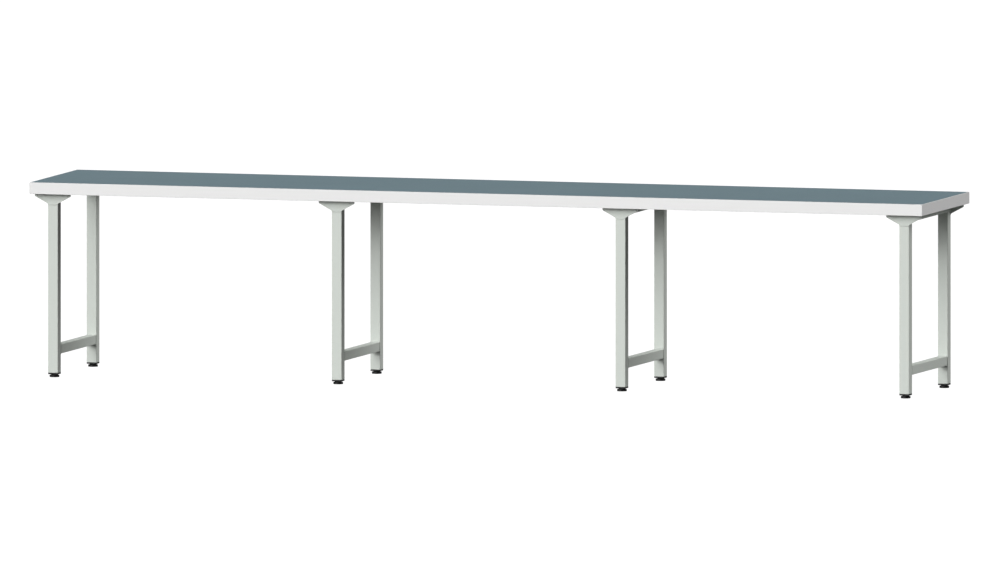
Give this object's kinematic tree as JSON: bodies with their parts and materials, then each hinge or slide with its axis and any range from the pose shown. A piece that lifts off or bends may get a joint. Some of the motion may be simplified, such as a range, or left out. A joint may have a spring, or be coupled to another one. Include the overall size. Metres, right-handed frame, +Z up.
{
  "type": "workbench",
  "caption": "Long workbench: a thick covered top with a light edge band on welded square-tube trestles, each with a folded head plate, a lower rail and screw-in levelling feet.",
  "frame": {"origin": "on the floor, under the middle of the top, with every foot screwed fully in", "axes": "+X along the length to the right, +Y to the back, +Z up"},
  "size_m": [4, 0.7, 0.84],
  "materials": {
    "covering": "blue-grey laminate, satin, fine even texture",
    "edge_band": "near-white edge band, satin",
    "board": "raw particle board, only in the cut screw holes",
    "backing": "plain off-white balancing sheet, matt",
    "frame": "light grey powder coat, fine orange peel, semi-matt",
    "insert": "black moulded plastic, fine grain",
    "pad": "black moulded plastic, slightly shiny on the rim",
    "stem": "zinc-plated rolled thread",
    "fixings": "zinc-plated hexagon head"
  },
  "bodies": {
    "bench": {"top_laminate": "covering", "top_board_core": "board", "backing_laminate": "backing", "edge_band_front": "edge_band", "edge_band_rear": "edge_band", "edge_band_left": "edge_band", "edge_band_right": "edge_band", "head_plate_1": "frame", "head_angle_1": "frame", "lower_rail_1": "frame", "leg_front_1": "frame", "insert_front_1": "insert", "top_screw_front_1": "fixings", "leg_rear_1": "frame", "insert_rear_1": "insert", "top_screw_rear_1": "fixings", "head_plate_2": "frame", "head_angle_2": "frame", "lower_rail_2": "frame", "leg_front_2": "frame", "insert_front_2": "insert", "top_screw_front_2": "fixings", "leg_rear_2": "frame", "insert_rear_2": "insert", "top_screw_rear_2": "fixings", "head_plate_3": "frame", "head_angle_3": "frame", "lower_rail_3": "frame", "leg_front_3": "frame", "insert_front_3": "insert", "top_screw_front_3": "fixings", "leg_rear_3": "frame", "insert_rear_3": "insert", "top_screw_rear_3": "fixings", "head_plate_4": "frame", "head_angle_4": "frame", "lower_rail_4": "frame", "leg_front_4": "frame", "insert_front_4": "insert", "top_screw_front_4": "fixings", "leg_rear_4": "frame", "insert_rear_4": "insert", "top_screw_rear_4": "fixings"},
    "stem_front_1": {"stem_front_1": "stem"},
    "pad_front_1": {"pad_front_1": "pad"},
    "stem_rear_1": {"stem_rear_1": "stem"},
    "pad_rear_1": {"pad_rear_1": "pad"},
    "stem_front_2": {"stem_front_2": "stem"},
    "pad_front_2": {"pad_front_2": "pad"},
    "stem_rear_2": {"stem_rear_2": "stem"},
    "pad_rear_2": {"pad_rear_2": "pad"},
    "stem_front_3": {"stem_front_3": "stem"},
    "pad_front_3": {"pad_front_3": "pad"},
    "stem_rear_3": {"stem_rear_3": "stem"},
    "pad_rear_3": {"pad_rear_3": "pad"},
    "stem_front_4": {"stem_front_4": "stem"},
    "pad_front_4": {"pad_front_4": "pad"},
    "stem_rear_4": {"stem_rear_4": "stem"},
    "pad_rear_4": {"pad_rear_4": "pad"}
  },
  "joints": [
    {"name": "foot_front_1_slide", "type": "slide", "parent": "bench", "child": "stem_front_1", "axis": [0, 0, 1], "range_m": [-0.024, 0]},
    {"name": "foot_front_1_turn", "type": "hinge", "parent": "stem_front_1", "child": "pad_front_1", "pos_m": [-1.9075, -0.28375, 0], "axis": [0, 0, 1], "range_deg": [-5760, 0]},
    {"name": "foot_rear_1_slide", "type": "slide", "parent": "bench", "child": "stem_rear_1", "axis": [0, 0, 1], "range_m": [-0.024, 0]},
    {"name": "foot_rear_1_turn", "type": "hinge", "parent": "stem_rear_1", "child": "pad_rear_1", "pos_m": [-1.9075, 0.28375, 0], "axis": [0, 0, 1], "range_deg": [-5760, 0]},
    {"name": "foot_front_2_slide", "type": "slide", "parent": "bench", "child": "stem_front_2", "axis": [0, 0, 1], "range_m": [-0.024, 0]},
    {"name": "foot_front_2_turn", "type": "hinge", "parent": "stem_front_2", "child": "pad_front_2", "pos_m": [-0.63583, -0.28375, 0], "axis": [0, 0, 1], "range_deg": [-5760, 0]},
    {"name": "foot_rear_2_slide", "type": "slide", "parent": "bench", "child": "stem_rear_2", "axis": [0, 0, 1], "range_m": [-0.024, 0]},
    {"name": "foot_rear_2_turn", "type": "hinge", "parent": "stem_rear_2", "child": "pad_rear_2", "pos_m": [-0.63583, 0.28375, 0], "axis": [0, 0, 1], "range_deg": [-5760, 0]},
    {"name": "foot_front_3_slide", "type": "slide", "parent": "bench", "child": "stem_front_3", "axis": [0, 0, 1], "range_m": [-0.024, 0]},
    {"name": "foot_front_3_turn", "type": "hinge", "parent": "stem_front_3", "child": "pad_front_3", "pos_m": [0.63583, -0.28375, 0], "axis": [0, 0, 1], "range_deg": [-5760, 0]},
    {"name": "foot_rear_3_slide", "type": "slide", "parent": "bench", "child": "stem_rear_3", "axis": [0, 0, 1], "range_m": [-0.024, 0]},
    {"name": "foot_rear_3_turn", "type": "hinge", "parent": "stem_rear_3", "child": "pad_rear_3", "pos_m": [0.63583, 0.28375, 0], "axis": [0, 0, 1], "range_deg": [-5760, 0]},
    {"name": "foot_front_4_slide", "type": "slide", "parent": "bench", "child": "stem_front_4", "axis": [0, 0, 1], "range_m": [-0.024, 0]},
    {"name": "foot_front_4_turn", "type": "hinge", "parent": "stem_front_4", "child": "pad_front_4", "pos_m": [1.9075, -0.28375, 0], "axis": [0, 0, 1], "range_deg": [-5760, 0]},
    {"name": "foot_rear_4_slide", "type": "slide", "parent": "bench", "child": "stem_rear_4", "axis": [0, 0, 1], "range_m": [-0.024, 0]},
    {"name": "foot_rear_4_turn", "type": "hinge", "parent": "stem_rear_4", "child": "pad_rear_4", "pos_m": [1.9075, 0.28375, 0], "axis": [0, 0, 1], "range_deg": [-5760, 0]}
  ],
  "couplings": [
    {"joint": "foot_front_1_slide", "follows": "foot_front_1_turn", "m_per_rad": 0.00023873},
    {"joint": "foot_rear_1_slide", "follows": "foot_rear_1_turn", "m_per_rad": 0.00023873},
    {"joint": "foot_front_2_slide", "follows": "foot_front_2_turn", "m_per_rad": 0.00023873},
    {"joint": "foot_rear_2_slide", "follows": "foot_rear_2_turn", "m_per_rad": 0.00023873},
    {"joint": "foot_front_3_slide", "follows": "foot_front_3_turn", "m_per_rad": 0.00023873},
    {"joint": "foot_rear_3_slide", "follows": "foot_rear_3_turn", "m_per_rad": 0.00023873},
    {"joint": "foot_front_4_slide", "follows": "foot_front_4_turn", "m_per_rad": 0.00023873},
    {"joint": "foot_rear_4_slide", "follows": "foot_rear_4_turn", "m_per_rad": 0.00023873}
  ]
}
